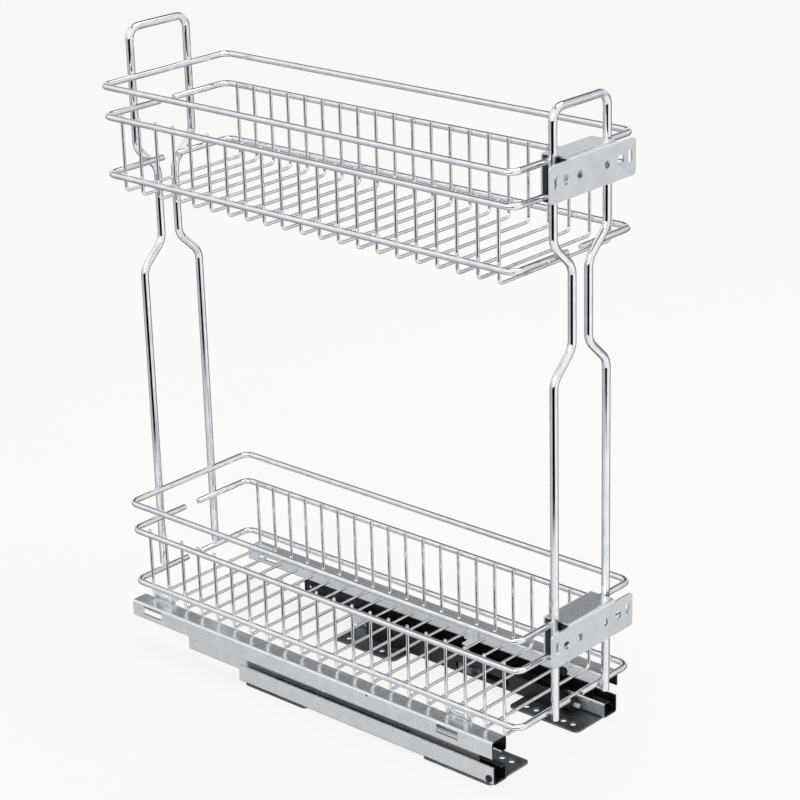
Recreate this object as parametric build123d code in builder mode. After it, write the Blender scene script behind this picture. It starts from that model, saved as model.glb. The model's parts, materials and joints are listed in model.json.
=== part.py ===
from build123d import *
import os

# Two-tier pull-out cabinet basket on a pair of three-member ball slides.
# +X is to the right seen from the door side, -Y faces the door, +Z is up.
# The origin is on the floor, under the centre of the bounding box.
# Every part is drawn at its closed position.

# ---------------------------------------------------------------- wires
ring_wire = 5.5            # diameter of the rings and rails
upright_wire = 7.0         # diameter of the two uprights
cross_wire = 2.8           # diameter of the U-shaped cross wires
weld_gap = 0.05            # faces of welded wires stay this far apart
corner_bend = 9.0          # centreline bend at the basket corners
wire_end_chamfer = 0.5

# ---------------------------------------------------------------- baskets
basket_length = 460.0      # centreline length of every ring
top_ring_width = 151.6     # centreline width of the closed top ring
rail_width = 149.2         # centreline width of the mid and bottom rails
rail_gap = 17.0            # gap between the left and right rail halves
top_to_mid = 27.3          # top ring down to the mid rail
mid_to_bottom = 52.0       # mid rail down to the bottom rail
cross_drop = 13.35         # bottom rail down to the floor wires
cross_above_mid = 3.2      # wire tips stand this far above the mid rail
cross_count = 21
cross_pitch = 21.2
cross_bend = 4.0
tier_pitch = 393.8         # lower basket up to the upper basket

# ---------------------------------------------------------------- uprights
leg_spacing = 68.0         # between the legs' centrelines
neck_spacing = 21.0        # between the legs at the waist
top_bend = 11.0
waist_bend = 16.0
handle_rise = 42.4         # upper top ring up to the upright's top bar
waist_top = 463.6          # where the legs start to lean in
waist_lean = 22.0          # height over which a leg leans
waist_bottom = 373.2       # where the legs start to lean out
front_leg_end = 51.3
rear_leg_end = 58.0

# ---------------------------------------------------------------- door brackets
bracket_sheet = 1.6
plate_width = 108.0
plate_height = 32.4
plate_corner = 4.0
plate_reach = 19.5         # plate's front face ahead of the front ring bar
saddle_clearance = 0.1     # between the saddle and each leg
saddle_width = leg_spacing - upright_wire - 2 * saddle_clearance
saddle_bend = 2.0
slot_spacing = 93.4
slot_width = 5.0
slot_height = 12.0
outer_hole_spacing = 68.6
outer_hole = 8.5
inner_hole_spacing = 34.0
inner_hole = 6.5
rear_leg_drop = 37.8       # bracket's rear leg, from its top to its foot
liner_web = 0.9            # liner's thickness over the ring bar
liner_rear = 4.0           # liner's thickness behind the ring bar
liner_drop = 8.0           # liner's height ahead of the ring bar
liner_rear_drop = 38.0     # liner's height behind the ring bar
liner_ear = 4.4            # width of each of the two ears behind the ring bar
liner_leg_clearance = 0.2

# ---------------------------------------------------------------- slides
slide_top = 42.5
rail_sheet = 1.5
middle_sheet = 1.2
cage_sheet = 0.6
sheet_bend = 1.6           # centreline bend of the folded rails
drawer_outer = 85.4        # from the centre plane to the outer wall's face
drawer_inner = 67.0
drawer_outer_bottom = 27.0
drawer_inner_bottom = 29.0
drawer_lip = 6.5
drawer_length = 436.0
drawer_front = 210.5       # ahead of the basket's centre
cabinet_outer = 84.0
cabinet_inner = 66.5
cabinet_bottom = 1.5
cabinet_outer_top = 18.1
cabinet_inner_top = 15.8
cabinet_lip = 7.5
cabinet_length = 299.0
middle_outer = 77.8
middle_inner = 70.0
middle_bottom = 8.4
middle_top = 36.1
middle_length = 350.0
middle_front = 190.0
middle_corner = 5.0
ball_gap = 0.3             # between a ball and the race it runs on
pocket_gap = 0.1           # between a ball and its cage pocket
lower_cage_front = 113.0   # ahead of the basket's centre
lower_cage_length = 158.0
lower_cage_top = 19.5
upper_cage_front = 85.0
upper_cage_length = 205.0
upper_cage_bottom = 28.6
side_ball_pitch = 8.0
row_ball_pitch = 22.0
window_length = 24.0
window_height = 8.0
window_top = 40.0
front_window = 161.0       # centre, ahead of the basket's centre
rear_window = 199.5        # centre, behind the basket's centre
sight_hole = 2.2
sight_hole_at = 70.0

# ---------------------------------------------------------------- feet
foot_sheet = 1.5
foot_inner = 32.0
foot_length = 77.0
foot_corner = 5.0
foot_front = 207.5         # front foot's front edge
rear_foot_front = -6.0     # rear foot's front edge, behind the centre
foot_hole = 5.6
foot_hole_at = 42.0        # from the centre plane
foot_holes = (12.0, 22.5, 53.0, 64.0)
foot_rivet = 3.0
foot_rivet_head = 4.0
foot_rivet_head_height = 0.7
foot_rivet_at = 79.6
foot_rivet_inset = 16.0

# ---------------------------------------------------------------- small parts
stop_head = 6.4
stop_shank = 4.0
stop_head_height = 1.3
stop_nib = 1.2
stop_height = 6.8
stop_inset = 5.0
plug_head = 9.0
plug_shank = 7.0
plug_head_height = 1.0
plug_height = 33.2
plug_at = 165.0
middle_rivet = 5.2
middle_rivet_height = 1.0
rear_rivet_at = -152.0
rear_rivet_height = 17.0
mid_rivet_at = 12.0
mid_rivet_height = 23.3
hook_sheet = 1.2
hook_length = 27.5
hook_bottom = 38.2
hook_top = 50.5
hook_slot = 2.2            # crimped mouth above each wire
hook_wire_clearance = 0.12
hook_rivet = 3.0
hook_rivet_head = 0.9
hook_rivet_spacing = 10.0
hook_rivet_rise = 2.1

# ---------------------------------------------------------------- soft close
housing_inner = 54.0
housing_gap = 0.1
housing_top = 18.5
housing_front = 172.0
housing_length = 232.0
housing_wall = 2.0
housing_boss = 6.3         # radius of the round end cap
housing_boss_length = 11.0
damper_tip_radius = 2.2
damper_tip_reach = 5.0     # how far the tip stands out of the cap
catch_front = 78.0
catch_length = 26.0
catch_gap = 0.5
catch_top = 18.6
catch_slot = 6.0
catch_tab_reach = 4.0
catch_travel = 35.0
cylinder_radius = 3.4
cylinder_bore = 2.6
cylinder_length = 70.0
cylinder_rear = 52.0
cylinder_axis = 8.6
rod_radius = 1.2
piston_radius = 2.52
rod_clearance = 0.08
striker_sheet = 1.5
striker_length = 16.0
striker_pin = 5.0
striker_at = 60.0
striker_bottom = 19.2

# ---------------------------------------------------------------- derived
ring_r = ring_wire / 2
upright_r = upright_wire / 2
cross_r = cross_wire / 2
half_length = basket_length / 2
upright_reach = half_length + ring_r + upright_r + weld_gap
front_reach = half_length + plate_reach
rear_reach = upright_reach + upright_r
mid_y = (front_reach - rear_reach) / 2    # basket centre from the origin

floor_wire_z = slide_top + weld_gap + cross_r
bottom_rail_z = floor_wire_z + cross_drop
mid_rail_z = bottom_rail_z + mid_to_bottom
top_ring_z = mid_rail_z + top_to_mid
upright_top_z = top_ring_z + tier_pitch + handle_rise
cross_tip_z = mid_rail_z + cross_above_mid
cross_half_width = rail_width / 2 - ring_r - cross_r - weld_gap
cross_start = cross_pitch * (cross_count - 1) / 2


def ahead(distance):
    """Y of a place that far ahead of the basket's centre, on the door side."""
    return mid_y - distance


def bent_wire(points, bend, radius, chamfered=True):
    """Round wire swept along a polyline whose corners are bent."""
    with BuildPart() as wire:
        with BuildLine() as path:
            FilletPolyline(*points, radius=bend)
        start = path.line @ 0
        with BuildSketch(Plane(origin=start, z_dir=path.line % 0)):
            Circle(radius)
        sweep(path=path.line)
        if chamfered:
            ends = wire.faces().filter_by(GeomType.PLANE).edges()
            chamfer(ends, length=wire_end_chamfer)
    return wire.part


def half_rail(width, gap, height, chamfered):
    """Right half of a basket rail, bent at both corners."""
    side = width / 2
    near = ahead(half_length)
    far = ahead(-half_length)
    points = [
        (gap / 2, far, height),
        (side, far, height),
        (side, near, height),
        (gap / 2, near, height),
    ]
    return bent_wire(points, corner_bend, ring_r, chamfered)


def upright_points(y, leg_end):
    """Corner points of one upright, from the left leg's end to the right's."""
    leg = leg_spacing / 2
    neck = neck_spacing / 2
    left = [
        (-leg, y, leg_end),
        (-leg, y, waist_bottom - waist_lean),
        (-neck, y, waist_bottom),
        (-neck, y, waist_top - waist_lean),
        (-leg, y, waist_top),
    ]
    right = [(-x, y, z) for x, y, z in reversed(left)]
    return left, right


def upright_half(y, leg_end):
    """Left half of an upright: the waisted leg and half of the top bar."""
    left, _ = upright_points(y, leg_end)
    bar_end = (0, y, upright_top_z)
    with BuildPart() as half:
        with BuildLine() as path:
            lower = FilletPolyline(*left, (-leg_spacing / 2, y, waist_top + waist_lean), radius=waist_bend)
            FilletPolyline(lower @ 1, (-leg_spacing / 2, y, upright_top_z), bar_end, radius=top_bend)
        with BuildSketch(Plane(origin=path.line @ 0, z_dir=path.line % 0)):
            Circle(upright_r)
        sweep(path=path.line)
        foot = half.faces().filter_by(GeomType.PLANE).sort_by(Axis.Z)[0]
        chamfer(foot.edges(), length=wire_end_chamfer)
    return half.part


def bracket_under(top_ring_height):
    """Underside of a bracket's flange, over the liner's web and the ring bar."""
    return top_ring_height + ring_r + liner_web + 2 * weld_gap


def bracket_back():
    """Front face of a bracket's rear leg, behind the liner."""
    return ahead(half_length) + ring_r + liner_rear + 2 * weld_gap


def bracket_sheet_part(top_ring_height):
    """Folded door bracket that hooks over a top ring's front bar."""
    top = bracket_under(top_ring_height) + bracket_sheet
    back = bracket_back() + bracket_sheet
    front = ahead(front_reach)
    middle = top - plate_height / 2
    with BuildPart() as bracket:
        with BuildSketch(Plane.YZ.offset(-saddle_width / 2)):
            with BuildLine():
                FilletPolyline(
                    (front + bracket_sheet / 2, top - plate_height),
                    (front + bracket_sheet / 2, top - bracket_sheet / 2),
                    (back - bracket_sheet / 2, top - bracket_sheet / 2),
                    (back - bracket_sheet / 2, top - rear_leg_drop),
                    radius=saddle_bend,
                )
            trace(line_width=bracket_sheet)
        extrude(amount=saddle_width)
        with BuildSketch(Plane.XZ.offset(-front)):
            with Locations((0, middle - saddle_bend / 2)):
                RectangleRounded(plate_width, plate_height - saddle_bend, plate_corner)
        extrude(amount=-bracket_sheet)
        with BuildSketch(Plane.XZ.offset(-front)):
            with Locations((-slot_spacing / 2, middle), (slot_spacing / 2, middle)):
                SlotOverall(slot_height, slot_width, rotation=90)
            with Locations((-outer_hole_spacing / 2, middle), (outer_hole_spacing / 2, middle)):
                Circle(outer_hole / 2)
            with Locations((-inner_hole_spacing / 2, middle), (inner_hole_spacing / 2, middle)):
                Circle(inner_hole / 2)
        extrude(amount=-2 * bracket_sheet, mode=Mode.SUBTRACT)
    return bracket.part


def bracket_liner_part(top_ring_height):
    """Black liner inside a bracket: it straddles the ring bar between the legs."""
    under = bracket_under(top_ring_height) - weld_gap
    web = under - liner_web
    bar_front = ahead(half_length) - ring_r - weld_gap
    bar_rear = ahead(half_length) + ring_r + weld_gap
    rear = bracket_back() - weld_gap
    front = ahead(front_reach) + bracket_sheet + 2 * weld_gap
    bend = saddle_bend / 2
    between_legs = leg_spacing - 2 * upright_r - 2 * liner_leg_clearance
    with BuildPart() as liner:
        with BuildSketch(Plane.YZ.offset(-between_legs / 2)):
            with BuildLine():
                Polyline(
                    (bar_rear, web),
                    (bar_front, web),
                    (bar_front, under - liner_drop),
                    (front, under - liner_drop),
                    (front, under - bend),
                    (front + bend, under),
                    (bar_rear, under),
                    close=True,
                )
            make_face()
        extrude(amount=between_legs)
        with BuildSketch(Plane.YZ.offset(-between_legs / 2)):
            with BuildLine():
                Polyline(
                    (bar_rear, web),
                    (bar_rear, under),
                    (rear - bend, under),
                    (rear, web),
                    close=True,
                )
            make_face()
        extrude(amount=between_legs)
        ear_height = liner_rear_drop - liner_web
        for side in (-1, 1):
            ear_x = side * (between_legs - liner_ear) / 2
            with Locations((ear_x, (bar_rear + rear) / 2, web)):
                Box(liner_ear, rear - bar_rear, ear_height, align=(Align.CENTER, Align.CENTER, Align.MAX))
    return liner.part


def folded_strip(points, sheet, bend, front, length):
    """Sheet folded along a section polyline and run back along Y."""
    with BuildPart() as strip:
        with BuildSketch(Plane.XZ.offset(-ahead(front))):
            with BuildLine():
                FilletPolyline(*points, radius=bend)
            trace(line_width=sheet)
        extrude(amount=-length)
    return strip.part


def window_box(x, height, at, length, tall):
    """Cutter for a window in a rail wall."""
    with BuildPart() as cutter:
        with Locations((x, ahead(at), height)):
            Box(4 * rail_sheet, length, tall)
    return cutter.part


def drawer_member_part():
    """Right drawer member: an inverted channel with an inner lip."""
    half = rail_sheet / 2
    points = [
        (drawer_outer - half, drawer_outer_bottom),
        (drawer_outer - half, slide_top - half),
        (drawer_inner + half, slide_top - half),
        (drawer_inner + half, drawer_inner_bottom + half),
        (drawer_inner + drawer_lip, drawer_inner_bottom + half),
    ]
    rail = folded_strip(points, rail_sheet, sheet_bend, drawer_front, drawer_length)
    middle = window_top - window_height / 2
    with BuildPart() as member:
        add(rail)
        for at in (front_window, -rear_window):
            add(window_box(drawer_outer, middle, at, window_length, window_height), mode=Mode.SUBTRACT)
        rear = window_box(drawer_inner, middle, -rear_window, window_length, window_height / 2)
        add(rear, mode=Mode.SUBTRACT)
        with Locations((drawer_outer, ahead(sight_hole_at), window_top)):
            Cylinder(sight_hole / 2, 4 * rail_sheet, rotation=(0, 90, 0), mode=Mode.SUBTRACT)
        with Locations((drawer_inner, ahead(plug_at), plug_height)):
            Cylinder(plug_shank / 2 + weld_gap, 2 * rail_sheet + 1, rotation=(0, 90, 0), mode=Mode.SUBTRACT)
        for y in hook_centres():
            for side in (-1, 1):
                place = (drawer_inner, y + side * hook_rivet_spacing / 2, hook_bottom + hook_rivet_rise)
                with Locations(place):
                    bore = hook_rivet / 2 + weld_gap
                    Cylinder(bore, 4 * rail_sheet, rotation=(0, 90, 0), mode=Mode.SUBTRACT)
    return member.part


def cabinet_member_part():
    """Right cabinet member: an upright channel with an inner lip."""
    half = rail_sheet / 2
    points = [
        (cabinet_outer - half, cabinet_outer_top),
        (cabinet_outer - half, cabinet_bottom + half),
        (cabinet_inner + half, cabinet_bottom + half),
        (cabinet_inner + half, cabinet_inner_top - half),
        (cabinet_inner + cabinet_lip, cabinet_inner_top - half),
    ]
    rail = folded_strip(points, rail_sheet, sheet_bend, drawer_front, cabinet_length)
    with BuildPart() as member:
        add(rail)
        with Locations((cabinet_outer, ahead(drawer_front - stop_inset), stop_height)):
            Cylinder(stop_shank / 2 + weld_gap, 4 * rail_sheet, rotation=(0, 90, 0), mode=Mode.SUBTRACT)
        with Locations(*[(foot_rivet_at, y, cabinet_bottom) for y in foot_rivet_rows()]):
            Cylinder(foot_rivet / 2 + weld_gap, 4 * rail_sheet, mode=Mode.SUBTRACT)
    return member.part


def middle_member_part():
    """Right middle member: a channel open towards the centre plane."""
    half = middle_sheet / 2
    points = [
        (middle_inner, middle_bottom + half),
        (middle_outer - half, middle_bottom + half),
        (middle_outer - half, middle_top - half),
        (middle_inner, middle_top - half),
    ]
    strip = folded_strip(points, middle_sheet, sheet_bend, middle_front, middle_length)
    front = ahead(middle_front)
    with BuildPart() as member:
        add(strip)
        with BuildSketch(Plane.YZ.offset(middle_inner - 1)):
            for height, up in ((middle_bottom, 1), (middle_top, -1)):
                with BuildLine():
                    corner = (front, height)
                    along = (front + middle_corner, height)
                    rise = (front, height + up * middle_corner)
                    centre = (front + middle_corner, height + up * middle_corner)
                    Polyline(along, corner, rise)
                    ThreePointArc(rise, corner_arc(centre, corner, middle_corner), along)
                make_face()
        extrude(amount=middle_outer - middle_inner + 2, mode=Mode.SUBTRACT)
        for at, height in ((rear_rivet_at, rear_rivet_height), (mid_rivet_at, mid_rivet_height)):
            with Locations((middle_outer, ahead(at), height)):
                bore = middle_rivet / 4 + weld_gap
                Cylinder(bore, 4 * middle_sheet, rotation=(0, 90, 0), mode=Mode.SUBTRACT)
    return member.part


def corner_arc(centre, corner, radius):
    """Point halfway round a corner arc, on the way from its centre to the corner."""
    reach = Vector(corner[0] - centre[0], corner[1] - centre[1], 0).normalized() * radius
    return (centre[0] + reach.X, centre[1] + reach.Y)


def ball_rows(lower):
    """Rows of one interface as (x, height, radius, pitch)."""
    floor = cabinet_bottom + rail_sheet
    wall = cabinet_outer - rail_sheet
    if lower:
        under = middle_bottom - floor
        lip_gap = cabinet_inner_top - rail_sheet - middle_bottom - middle_sheet
        side = wall - middle_outer
        lip_z = middle_bottom + middle_sheet + lip_gap / 2
        side_z = cabinet_outer_top - side / 2 - ball_gap
        return (
            (middle_inner + 4, floor + under / 2, under / 2 - ball_gap, row_ball_pitch),
            (middle_inner + 2.3, lip_z, lip_gap / 2 - ball_gap, row_ball_pitch),
            (middle_outer + side / 2, side_z, side / 2 - ball_gap, side_ball_pitch),
        )
    over = slide_top - rail_sheet - middle_top
    lip_gap = middle_top - middle_sheet - drawer_inner_bottom - rail_sheet
    side = drawer_outer - rail_sheet - middle_outer
    lip_z = drawer_inner_bottom + rail_sheet + lip_gap / 2
    side_z = drawer_inner_bottom + side / 2
    return (
        (middle_inner + 4, middle_top + over / 2, over / 2 - ball_gap, row_ball_pitch),
        (middle_inner + 1.8, lip_z, lip_gap / 2 - ball_gap, row_ball_pitch),
        (middle_outer + side / 2, side_z, side / 2 - ball_gap, row_ball_pitch),
    )


def ball_places(lower):
    """Centres and radii of all the balls of one interface, right side."""
    front = lower_cage_front if lower else upper_cage_front
    length = lower_cage_length if lower else upper_cage_length
    places = []
    for x, z, radius, pitch in ball_rows(lower):
        count = int((length - 8) // pitch)
        first = front - (length - pitch * (count - 1)) / 2
        for index in range(count):
            places.append((x, ahead(first - index * pitch), z, radius))
    return places


def balls_part(lower):
    """Group of loose balls of one interface, right side."""
    with BuildPart() as balls:
        for x, y, z, radius in ball_places(lower):
            with Locations((x, y, z)):
                Sphere(radius)
    return balls.part


def cage_part(lower):
    """Folded retainer strip with a pocket for every ball, right side."""
    rows = ball_rows(lower)
    load, hold, side = rows
    clear = (cabinet_inner + rail_sheet + middle_inner) / 2
    if not lower:
        clear = (drawer_inner + rail_sheet + middle_inner) / 2
    end = lower_cage_top if lower else upper_cage_bottom
    points = [
        (hold[0] + 1.4, hold[1]),
        (clear, hold[1]),
        (clear, load[1]),
        (side[0], load[1]),
        (side[0], end),
    ]
    front = lower_cage_front if lower else upper_cage_front
    length = lower_cage_length if lower else upper_cage_length
    strip = folded_strip(points, cage_sheet, cage_sheet, front, length)
    with BuildPart() as cage:
        add(strip)
        for x, y, z, radius in ball_places(lower):
            turned = (0, 90, 0) if x > middle_outer else (0, 0, 0)
            with Locations((x, y, z)):
                Cylinder(radius + pocket_gap, 4 * cage_sheet, rotation=turned, mode=Mode.SUBTRACT)
    return cage.part


def foot_edges():
    """Front edges of the front and rear feet, ahead of the centre."""
    return (foot_front, rear_foot_front)


def foot_rivet_rows():
    """Y of the four rivets that hold a cabinet member to its feet."""
    rows = []
    for edge in foot_edges():
        rows.append(ahead(edge - foot_rivet_inset))
        rows.append(ahead(edge - foot_length + foot_rivet_inset))
    return rows


def foot_part(edge):
    """Right foot plate with four screw holes."""
    width = cabinet_outer - foot_inner
    with BuildPart() as foot:
        with BuildSketch():
            with Locations((foot_inner + width / 2, ahead(edge - foot_length / 2))):
                RectangleRounded(width, foot_length, foot_corner)
            with Locations(*[(foot_hole_at, ahead(edge - hole)) for hole in foot_holes]):
                Circle(foot_hole / 2, mode=Mode.SUBTRACT)
            insets = (foot_rivet_inset, foot_length - foot_rivet_inset)
            with Locations(*[(foot_rivet_at, ahead(edge - inset)) for inset in insets]):
                Circle(foot_rivet / 2 + weld_gap, mode=Mode.SUBTRACT)
        extrude(amount=foot_sheet)
    return foot.part


def foot_rivet_part(x, y):
    """Rivet through a cabinet member's floor and its foot plate."""
    floor = cabinet_bottom + rail_sheet
    with BuildPart() as rivet:
        with Locations((x, y, 0)):
            Cylinder(foot_rivet / 2, floor, align=(Align.CENTER, Align.CENTER, Align.MIN))
        with Locations((x, y, floor)):
            head = foot_rivet_head / 2
            Cylinder(head, foot_rivet_head_height, align=(Align.CENTER, Align.CENTER, Align.MIN))
    return rivet.part


def side_stud(x, y, z, head, head_height, shank, shank_length, nose):
    """Round-headed stud along X: the head is outboard of x, the shank inboard."""
    with BuildPart() as stud:
        with BuildSketch(Plane.YZ.offset(x)):
            with Locations((y, z)):
                Circle(head / 2)
        extrude(amount=head_height)
        rim = stud.faces().sort_by(Axis.X)[-1].edges()
        fillet(rim, radius=nose)
        with BuildSketch(Plane.YZ.offset(x)):
            with Locations((y, z)):
                Circle(shank / 2)
        extrude(amount=-shank_length)
    return stud.part


def hook_centres():
    """Y of the wire hook plates, midway between two neighbouring cross wires."""
    first = ahead(-cross_start) - cross_pitch / 2
    return (first, first - 17 * cross_pitch)


def hook_part(y):
    """Right hook plate, notched over two cross wires."""
    outer = drawer_inner - weld_gap
    height = hook_top - hook_bottom
    with BuildPart() as hook:
        with BuildSketch(Plane.YZ.offset(outer - hook_sheet)):
            with Locations((y, hook_bottom + height / 2)):
                RectangleRounded(hook_length, height, 1.5)
            with Locations((y - cross_pitch / 2, floor_wire_z), (y + cross_pitch / 2, floor_wire_z)):
                Circle(cross_r + hook_wire_clearance, mode=Mode.SUBTRACT)
            mouth = (floor_wire_z + hook_top) / 2 + cross_r / 2
            with Locations((y - cross_pitch / 2, mouth), (y + cross_pitch / 2, mouth)):
                Rectangle(hook_slot, hook_top - floor_wire_z + cross_r, mode=Mode.SUBTRACT)
            with Locations((y, floor_wire_z + 2.4)):
                Rectangle(hook_rivet_spacing, 2.4, mode=Mode.SUBTRACT)
            row = hook_bottom + hook_rivet_rise
            gap = hook_rivet_spacing / 2
            with Locations((y - gap, row), (y + gap, row)):
                Circle(hook_rivet / 2 + weld_gap, mode=Mode.SUBTRACT)
        extrude(amount=hook_sheet)
    return hook.part


def hook_rivet_part(y):
    """Rivet that holds a hook plate to the drawer member's inner wall."""
    face = drawer_inner - weld_gap - hook_sheet
    with BuildPart() as rivet:
        with BuildSketch(Plane.YZ.offset(face)):
            with Locations((y, hook_bottom + hook_rivet_rise)):
                Circle(hook_rivet * 0.6)
        extrude(amount=-hook_rivet_head)
        with BuildSketch(Plane.YZ.offset(face)):
            with Locations((y, hook_bottom + hook_rivet_rise)):
                Circle(hook_rivet / 2)
        extrude(amount=hook_sheet + weld_gap + rail_sheet - pocket_gap)
        rim = rivet.faces().sort_by(Axis.X)[0].edges()
        fillet(rim, radius=hook_rivet_head / 2)
    return rivet.part


def mirrored(part):
    """The same part on the left side."""
    return part.mirror(Plane.YZ)


# ---------------------------------------------------------------- baskets
top_half = half_rail(top_ring_width, 0, top_ring_z, False)
mid_half = half_rail(rail_width, rail_gap, mid_rail_z, True)
bottom_half = half_rail(rail_width, rail_gap, bottom_rail_z, True)
cross_points = [
    (-cross_half_width, 0, cross_tip_z),
    (-cross_half_width, 0, floor_wire_z),
    (cross_half_width, 0, floor_wire_z),
    (cross_half_width, 0, cross_tip_z),
]
one_cross_wire = bent_wire(cross_points, cross_bend, cross_r, False)
cross_rows = [ahead(-cross_start + index * cross_pitch) for index in range(cross_count)]

with BuildPart() as lower_top_ring:
    add(top_half)
    add(mirrored(top_half))

with BuildPart() as upper_top_ring:
    with Locations((0, 0, tier_pitch)):
        add(top_half)
        add(mirrored(top_half))

with BuildPart() as lower_mid_rail_right:
    add(mid_half)

with BuildPart() as lower_mid_rail_left:
    add(mirrored(mid_half))

with BuildPart() as upper_mid_rail_right:
    with Locations((0, 0, tier_pitch)):
        add(mid_half)

with BuildPart() as upper_mid_rail_left:
    with Locations((0, 0, tier_pitch)):
        add(mirrored(mid_half))

with BuildPart() as lower_bottom_rail_right:
    add(bottom_half)

with BuildPart() as lower_bottom_rail_left:
    add(mirrored(bottom_half))

with BuildPart() as upper_bottom_rail_right:
    with Locations((0, 0, tier_pitch)):
        add(bottom_half)

with BuildPart() as upper_bottom_rail_left:
    with Locations((0, 0, tier_pitch)):
        add(mirrored(bottom_half))

with BuildPart() as lower_cross_wires:
    with Locations(*[(0, y, 0) for y in cross_rows]):
        add(one_cross_wire)

with BuildPart() as upper_cross_wires:
    with Locations(*[(0, y, tier_pitch) for y in cross_rows]):
        add(one_cross_wire)

# ---------------------------------------------------------------- frame
front_half = upright_half(ahead(upright_reach), front_leg_end)
rear_half = upright_half(ahead(-upright_reach), rear_leg_end)

with BuildPart() as front_upright:
    add(front_half)
    add(mirrored(front_half))

with BuildPart() as rear_upright:
    add(rear_half)
    add(mirrored(rear_half))

upper_ring_height = top_ring_z + tier_pitch
upper_sheet = bracket_sheet_part(upper_ring_height)
lower_sheet = bracket_sheet_part(top_ring_z)
upper_liner = bracket_liner_part(upper_ring_height)
lower_liner = bracket_liner_part(top_ring_z)

with BuildPart() as upper_door_bracket:
    add(upper_sheet)

with BuildPart() as lower_door_bracket:
    add(lower_sheet)

with BuildPart() as upper_bracket_liner:
    add(upper_liner)

with BuildPart() as lower_bracket_liner:
    add(lower_liner)

# ---------------------------------------------------------------- slides
drawer_member = drawer_member_part()
middle_member = middle_member_part()
cabinet_member = cabinet_member_part()
lower_cage = cage_part(True)
upper_cage = cage_part(False)
lower_balls = balls_part(True)
upper_balls = balls_part(False)

with BuildPart() as right_drawer_member:
    add(drawer_member)

with BuildPart() as left_drawer_member:
    add(mirrored(drawer_member))

with BuildPart() as right_middle_member:
    add(middle_member)

with BuildPart() as left_middle_member:
    add(mirrored(middle_member))

with BuildPart() as right_cabinet_member:
    add(cabinet_member)

with BuildPart() as left_cabinet_member:
    add(mirrored(cabinet_member))

with BuildPart() as right_lower_cage:
    add(lower_cage)

with BuildPart() as left_lower_cage:
    add(mirrored(lower_cage))

with BuildPart() as right_upper_cage:
    add(upper_cage)

with BuildPart() as left_upper_cage:
    add(mirrored(upper_cage))

with BuildPart() as right_lower_balls:
    add(lower_balls)

with BuildPart() as left_lower_balls:
    add(mirrored(lower_balls))

with BuildPart() as right_upper_balls:
    add(upper_balls)

with BuildPart() as left_upper_balls:
    add(mirrored(upper_balls))

# ---------------------------------------------------------------- feet and studs
front_foot = foot_part(foot_front)
rear_foot = foot_part(rear_foot_front)
foot_rivet_list = []
for side in (-1, 1):
    for row in foot_rivet_rows():
        foot_rivet_list.append(foot_rivet_part(side * foot_rivet_at, row))
middle_rivet_list = []
for at, height in ((rear_rivet_at, rear_rivet_height), (mid_rivet_at, mid_rivet_height)):
    stud = side_stud(middle_outer, ahead(at), height, middle_rivet, middle_rivet_height,
                     middle_rivet / 2, middle_sheet, middle_rivet_height / 2)
    middle_rivet_list.append(stud)
front_stop = side_stud(cabinet_outer, ahead(drawer_front - stop_inset), stop_height, stop_head,
                       stop_head_height, stop_shank, rail_sheet + stop_nib, stop_head_height / 2)
inner_plug = side_stud(-drawer_inner, ahead(plug_at), plug_height, plug_head,
                       plug_head_height, plug_shank, rail_sheet - pocket_gap, plug_head_height / 2)

with BuildPart() as right_front_foot:
    add(front_foot)

with BuildPart() as left_front_foot:
    add(mirrored(front_foot))

with BuildPart() as right_rear_foot:
    add(rear_foot)

with BuildPart() as left_rear_foot:
    add(mirrored(rear_foot))

with BuildPart() as foot_rivets:
    for rivet in foot_rivet_list:
        add(rivet)

with BuildPart() as right_middle_rivets:
    for stud in middle_rivet_list:
        add(stud)

with BuildPart() as left_middle_rivets:
    for stud in middle_rivet_list:
        add(mirrored(stud))

with BuildPart() as front_stops:
    add(front_stop)
    add(mirrored(front_stop))

with BuildPart() as wall_plugs:
    add(inner_plug)
    add(mirrored(inner_plug))

hook_list = [hook_part(y) for y in hook_centres()]
hook_rivet_list = []
for y in hook_centres():
    for side in (-1, 1):
        hook_rivet_list.append(hook_rivet_part(y + side * hook_rivet_spacing / 2))

with BuildPart() as wire_hooks:
    for hook in hook_list:
        add(hook)
        add(mirrored(hook))

with BuildPart() as hook_rivets:
    for rivet in hook_rivet_list:
        add(rivet)
        add(mirrored(rivet))

# ---------------------------------------------------------------- soft close
housing_outer = cabinet_inner - housing_gap
housing_floor = foot_sheet + weld_gap
housing_y = ahead(housing_front - housing_length / 2)
housing_x = (housing_inner + housing_outer) / 2
cavity_width = housing_outer - housing_inner - 2 * housing_wall
catch_y = ahead(catch_front - catch_length / 2)
slot_centre = catch_y - catch_travel / 2
catch_floor = housing_floor + housing_wall + catch_gap
tab_height = catch_slot - 2 * catch_gap
rod_length = catch_y + catch_length / 2

with BuildPart() as damper_housing:
    with BuildSketch(Plane.XY.offset(housing_floor)):
        with Locations((housing_x, housing_y)):
            RectangleRounded(housing_outer - housing_inner, housing_length, 2.5)
    extrude(amount=housing_top - housing_floor)
    with Locations((housing_x, housing_y, housing_floor + housing_wall)):
        Box(cavity_width, housing_length - 4 * housing_wall, housing_top,
            align=(Align.CENTER, Align.CENTER, Align.MIN), mode=Mode.SUBTRACT)
    with Locations((housing_inner, slot_centre, cylinder_axis)):
        Box(3 * housing_wall, catch_length + catch_travel + 2 * catch_gap, catch_slot, mode=Mode.SUBTRACT)
    with BuildSketch(Plane.XZ.offset(-ahead(housing_front))):
        with Locations((housing_x, cylinder_axis)):
            Circle(housing_boss)
    extrude(amount=housing_boss_length)
    for index in range(5):
        with Locations((housing_inner, ahead(20 - index * 16), (housing_top + housing_floor) / 2)):
            Box(2 * cage_sheet, 3.0, housing_top - housing_floor - 4)

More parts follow.
